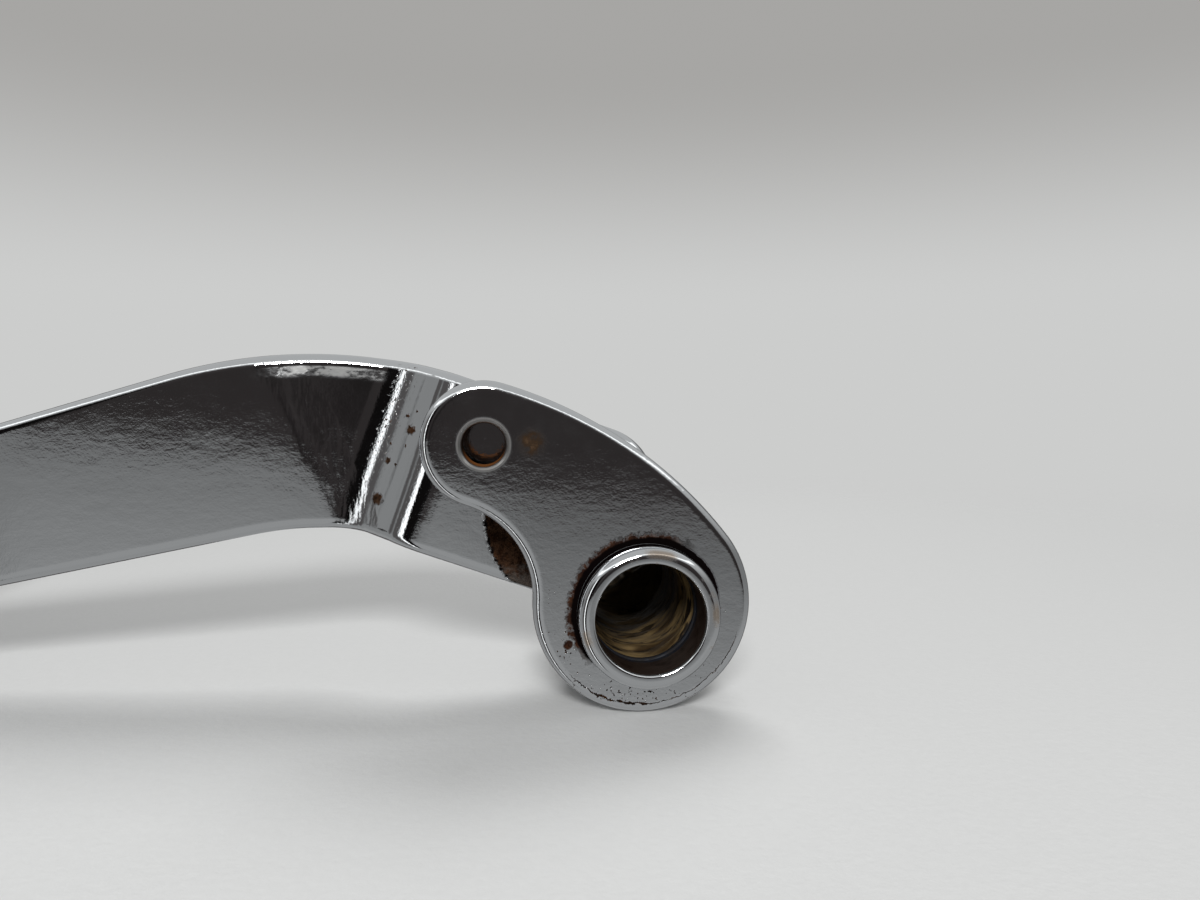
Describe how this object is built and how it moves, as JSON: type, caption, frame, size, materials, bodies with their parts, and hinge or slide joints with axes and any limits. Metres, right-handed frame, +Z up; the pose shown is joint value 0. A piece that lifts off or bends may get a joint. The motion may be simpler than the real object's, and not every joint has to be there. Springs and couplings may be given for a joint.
{
  "type": "motorbike brake pedal",
  "caption": "Chromed foot brake pedal: joggled flat arm and lobed actuator plate welded to a greased pivot tube, with a ribbed rubber tread at the tip",
  "frame": {"origin": "on the pivot tube's axis, at the middle of its length", "axes": "+Y along the pivot axis, away from the actuator plate (outwards on the bike); +X towards the rear, with the tread at -X; +Z up as in the picture"},
  "size_m": [0.2103, 0.0745, 0.0571],
  "materials": {
    "tube_chrome": "bright chrome outside; machined, stained and greasy in the bore",
    "plate_chrome": "bright chrome with orange peel, light pitting and brown dirt round the tube",
    "arm_chrome": "bright chrome with orange peel, rust spots in the joggle and a rusty patch by the plate",
    "tread_chrome": "dull chrome on a pressed steel plate",
    "weld_chrome": "plated weld bead with ripples and rust in the toes",
    "seal_rubber": "black rubber, wet with old grease",
    "tread_rubber": "worn moulded black rubber"
  },
  "bodies": {
    "root": {"pivot_tube": "tube_chrome", "inner_grease_seal": "seal_rubber", "outer_grease_seal": "seal_rubber", "actuator_plate": "plate_chrome", "plate_weld": "weld_chrome", "pedal_arm": "arm_chrome", "arm_weld_inner": "weld_chrome", "arm_weld_outer": "weld_chrome", "tread_plate": "tread_chrome", "tread_weld_inner": "weld_chrome", "tread_weld_outer": "weld_chrome", "tread_rubber": "tread_rubber"}
  },
  "joints": []
}
